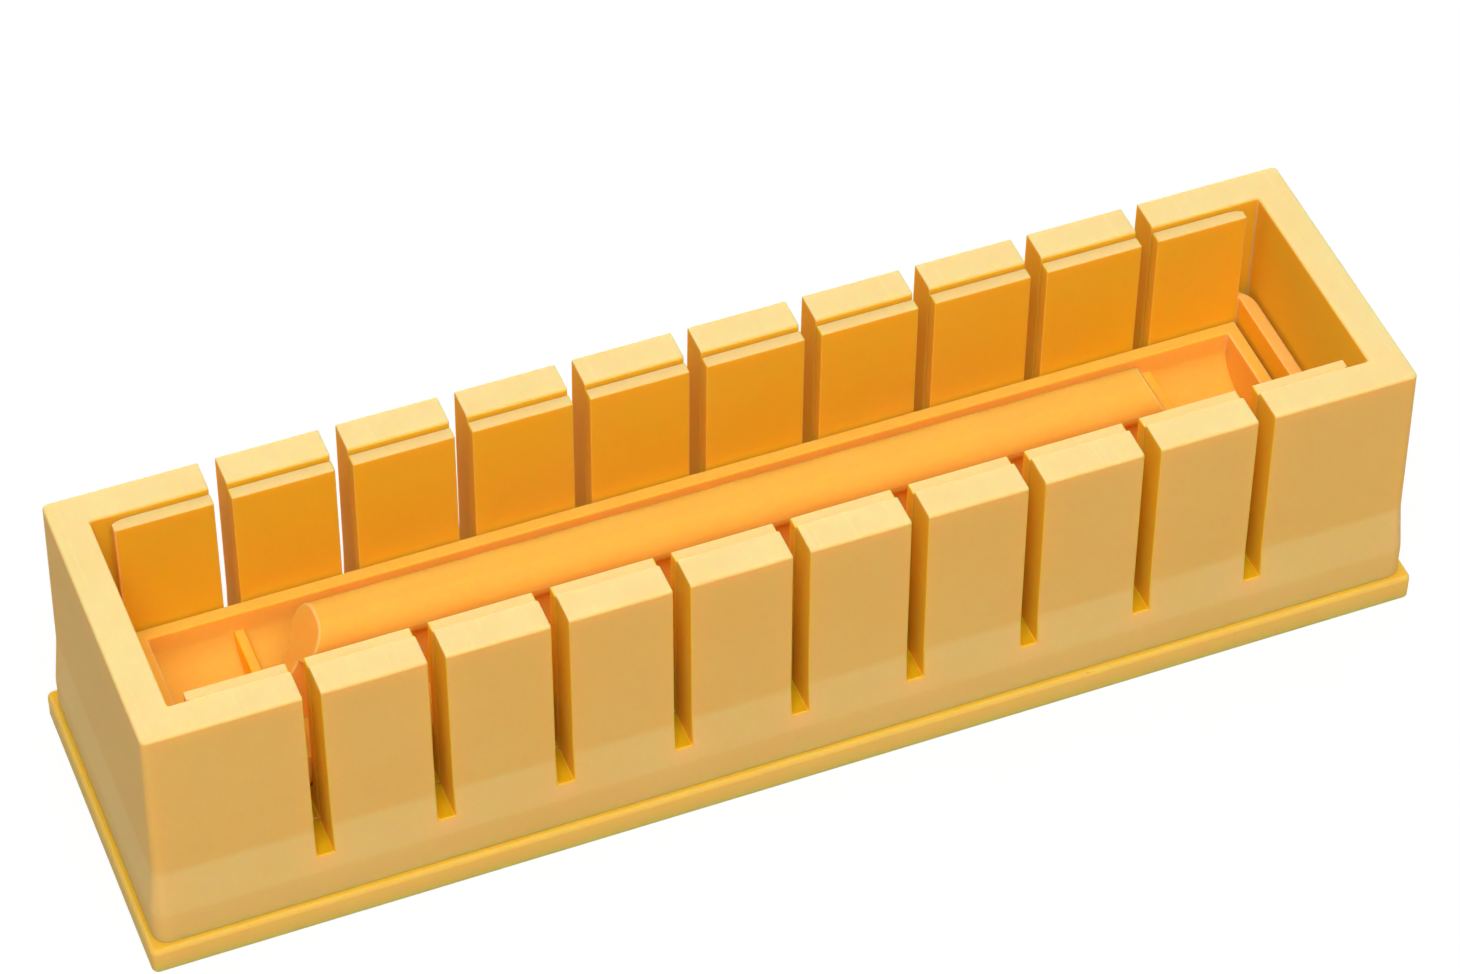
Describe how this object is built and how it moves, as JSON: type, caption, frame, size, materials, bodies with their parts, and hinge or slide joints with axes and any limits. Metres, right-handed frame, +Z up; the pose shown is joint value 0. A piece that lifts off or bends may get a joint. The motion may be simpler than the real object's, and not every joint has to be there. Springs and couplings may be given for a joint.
{
  "type": "sushi rice mold press",
  "caption": "Long moulded box for pressing rice into a roll, with knife slots in both long walls, a lift-out trough, a base tray and a gripped press bar.",
  "frame": {"origin": "centre of the footprint, on the surface that the base tray stands on", "axes": "+X along the mould, +Y from the front wall to the back wall, +Z up"},
  "size_m": [0.2304, 0.0612, 0.0537],
  "materials": {
    "moulded_plastic": "satin moulded, pale yellow"
  },
  "bodies": {
    "tray": {"base_tray": "moulded_plastic"},
    "frame": {"slotted_frame": "moulded_plastic"},
    "mould": {"lower_mould": "moulded_plastic"},
    "press_bar": {"press": "moulded_plastic"}
  },
  "joints": [
    {"name": "frame_lift", "type": "slide", "parent": "tray", "child": "frame", "axis": [0, 0, 1], "range_m": [0, 0.08]},
    {"name": "mould_lift", "type": "slide", "parent": "tray", "child": "mould", "axis": [0, 0, 1], "range_m": [0, 0.06]},
    {"name": "press_lift", "type": "slide", "parent": "mould", "child": "press_bar", "axis": [0, 0, 1], "range_m": [0, 0.06]}
  ]
}
